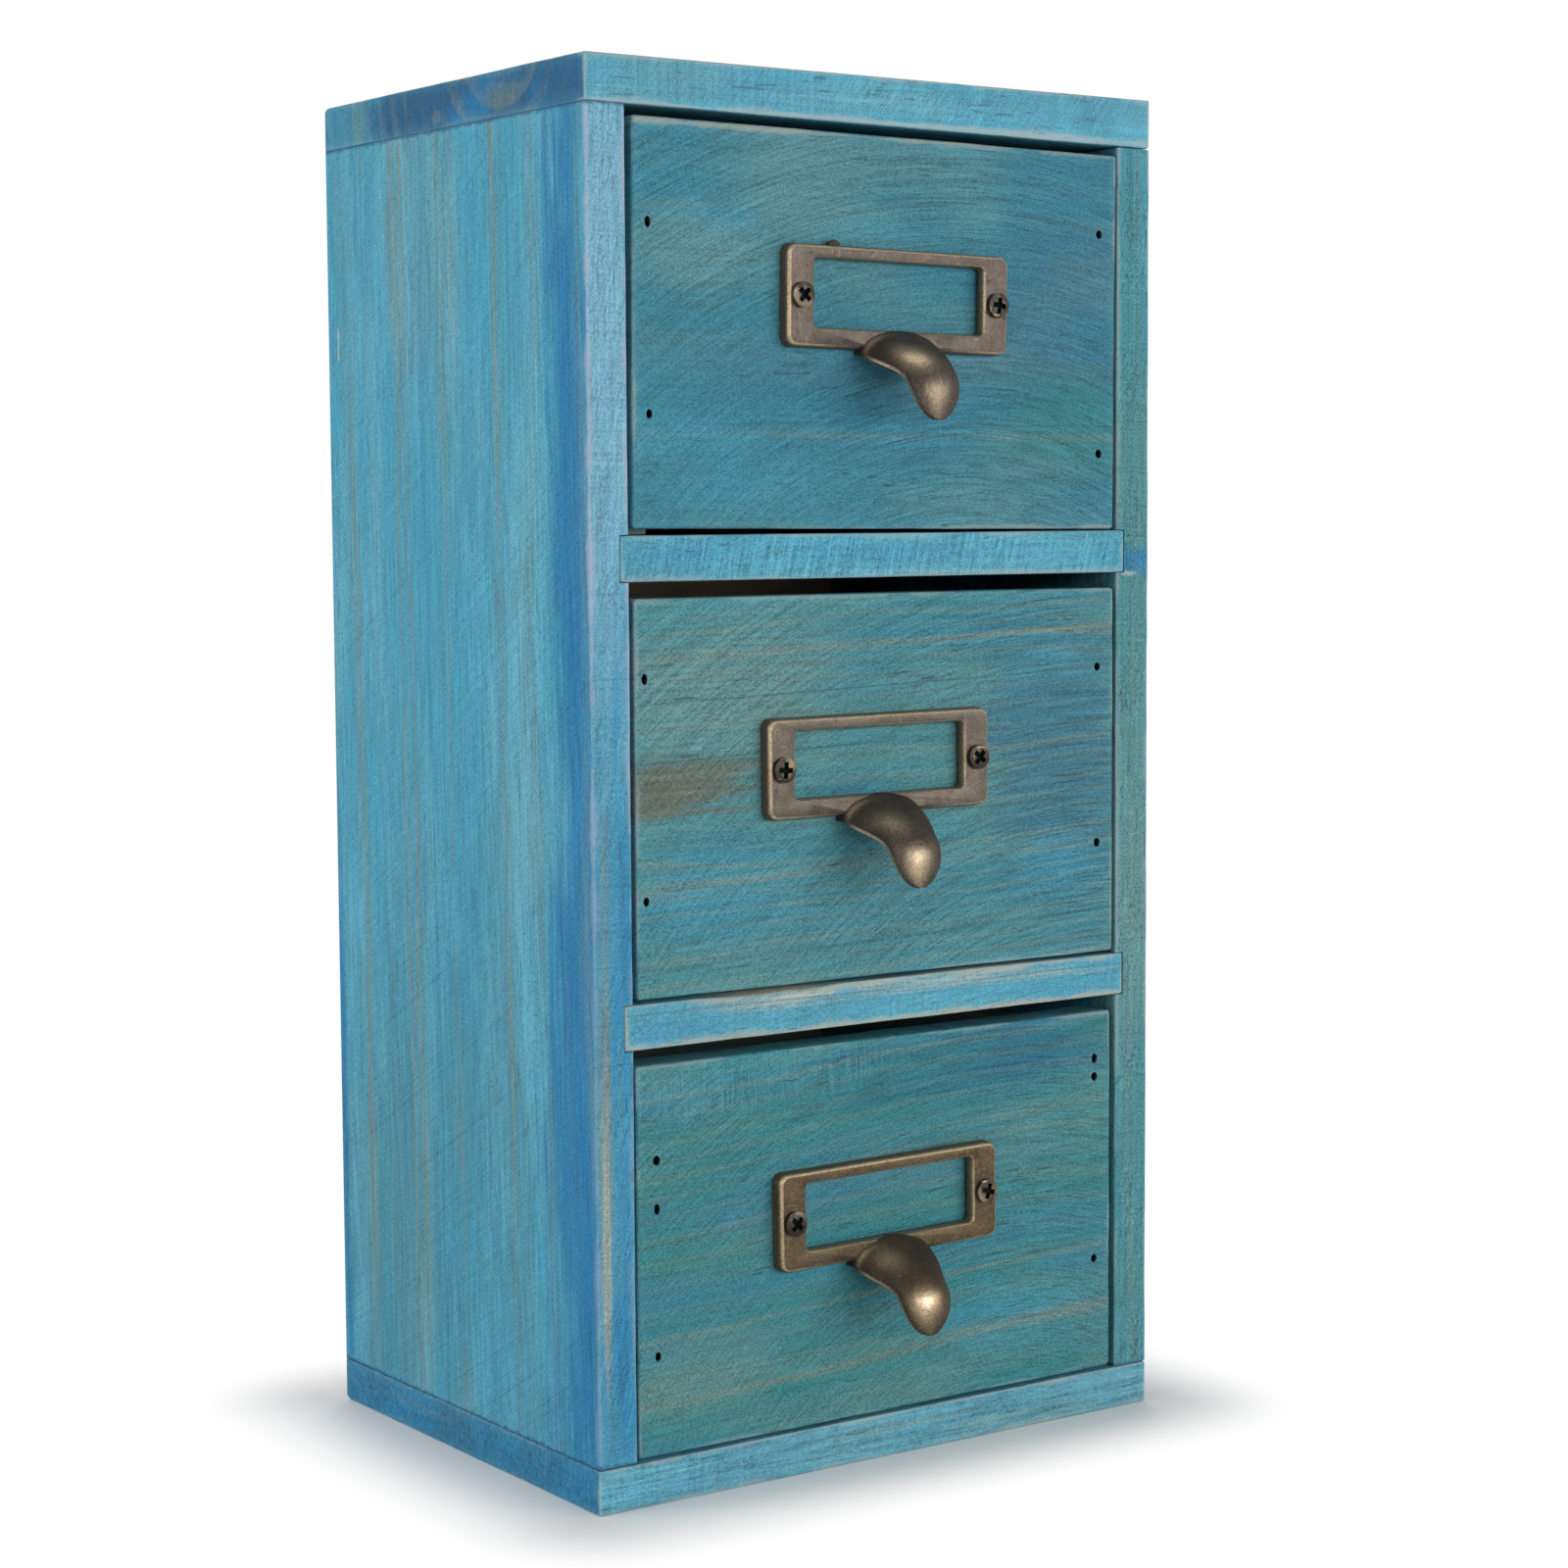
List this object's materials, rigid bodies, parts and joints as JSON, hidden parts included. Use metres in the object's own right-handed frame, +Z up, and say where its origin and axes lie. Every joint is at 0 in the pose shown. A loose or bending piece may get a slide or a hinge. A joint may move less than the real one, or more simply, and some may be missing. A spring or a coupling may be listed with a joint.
{
  "type": "desktop drawer organizer",
  "caption": "Small free-standing cabinet of stained pine boards with drawers one above the other, each pulled by a cast label frame with a thumb pull.",
  "frame": {"origin": "middle of the underside, on the surface that the cabinet stands on", "axes": "+X to the right seen from the front, -Y to the front, where the drawers open, +Z up"},
  "size_m": [0.125, 0.1106, 0.25],
  "materials": {
    "stained_pine": "blue water stain, sanded through at the edges",
    "thin_stained_pine": "thin blue stain over sawn pine",
    "thin_plywood": "raw plywood",
    "antique_brass": "antiqued casting, rubbed bright at the edges",
    "dark_bronze": "bronze-plated screw",
    "steel_brad": "dull steel"
  },
  "bodies": {
    "carcass": {"top_board": "stained_pine", "bottom_board": "stained_pine", "left_side_board": "stained_pine", "right_side_board": "stained_pine", "upper_shelf": "stained_pine", "lower_shelf": "stained_pine", "back_panel": "thin_plywood", "carcass_brads": "steel_brad", "back_panel_pins": "steel_brad"},
    "bottom_drawer": {"bottom_drawer_front": "stained_pine", "bottom_drawer_left_side": "thin_stained_pine", "bottom_drawer_right_side": "thin_stained_pine", "bottom_drawer_back": "thin_stained_pine", "bottom_drawer_floor": "thin_plywood", "bottom_label_pull": "antique_brass", "bottom_pull_screws": "dark_bronze", "bottom_front_brads": "steel_brad", "bottom_back_brads": "steel_brad"},
    "middle_drawer": {"middle_drawer_front": "stained_pine", "middle_drawer_left_side": "thin_stained_pine", "middle_drawer_right_side": "thin_stained_pine", "middle_drawer_back": "thin_stained_pine", "middle_drawer_floor": "thin_plywood", "middle_label_pull": "antique_brass", "middle_pull_screws": "dark_bronze", "middle_front_brads": "steel_brad", "middle_back_brads": "steel_brad"},
    "top_drawer": {"top_drawer_front": "stained_pine", "top_drawer_left_side": "thin_stained_pine", "top_drawer_right_side": "thin_stained_pine", "top_drawer_back": "thin_stained_pine", "top_drawer_floor": "thin_plywood", "top_label_pull": "antique_brass", "top_pull_screws": "dark_bronze", "top_front_brads": "steel_brad", "top_back_brads": "steel_brad"}
  },
  "joints": [
    {"name": "bottom_drawer_slide", "type": "slide", "parent": "carcass", "child": "bottom_drawer", "axis": [0, -1, 0], "range_m": [0, 0.075]},
    {"name": "middle_drawer_slide", "type": "slide", "parent": "carcass", "child": "middle_drawer", "axis": [0, -1, 0], "range_m": [0, 0.075]},
    {"name": "top_drawer_slide", "type": "slide", "parent": "carcass", "child": "top_drawer", "axis": [0, -1, 0], "range_m": [0, 0.075]}
  ]
}
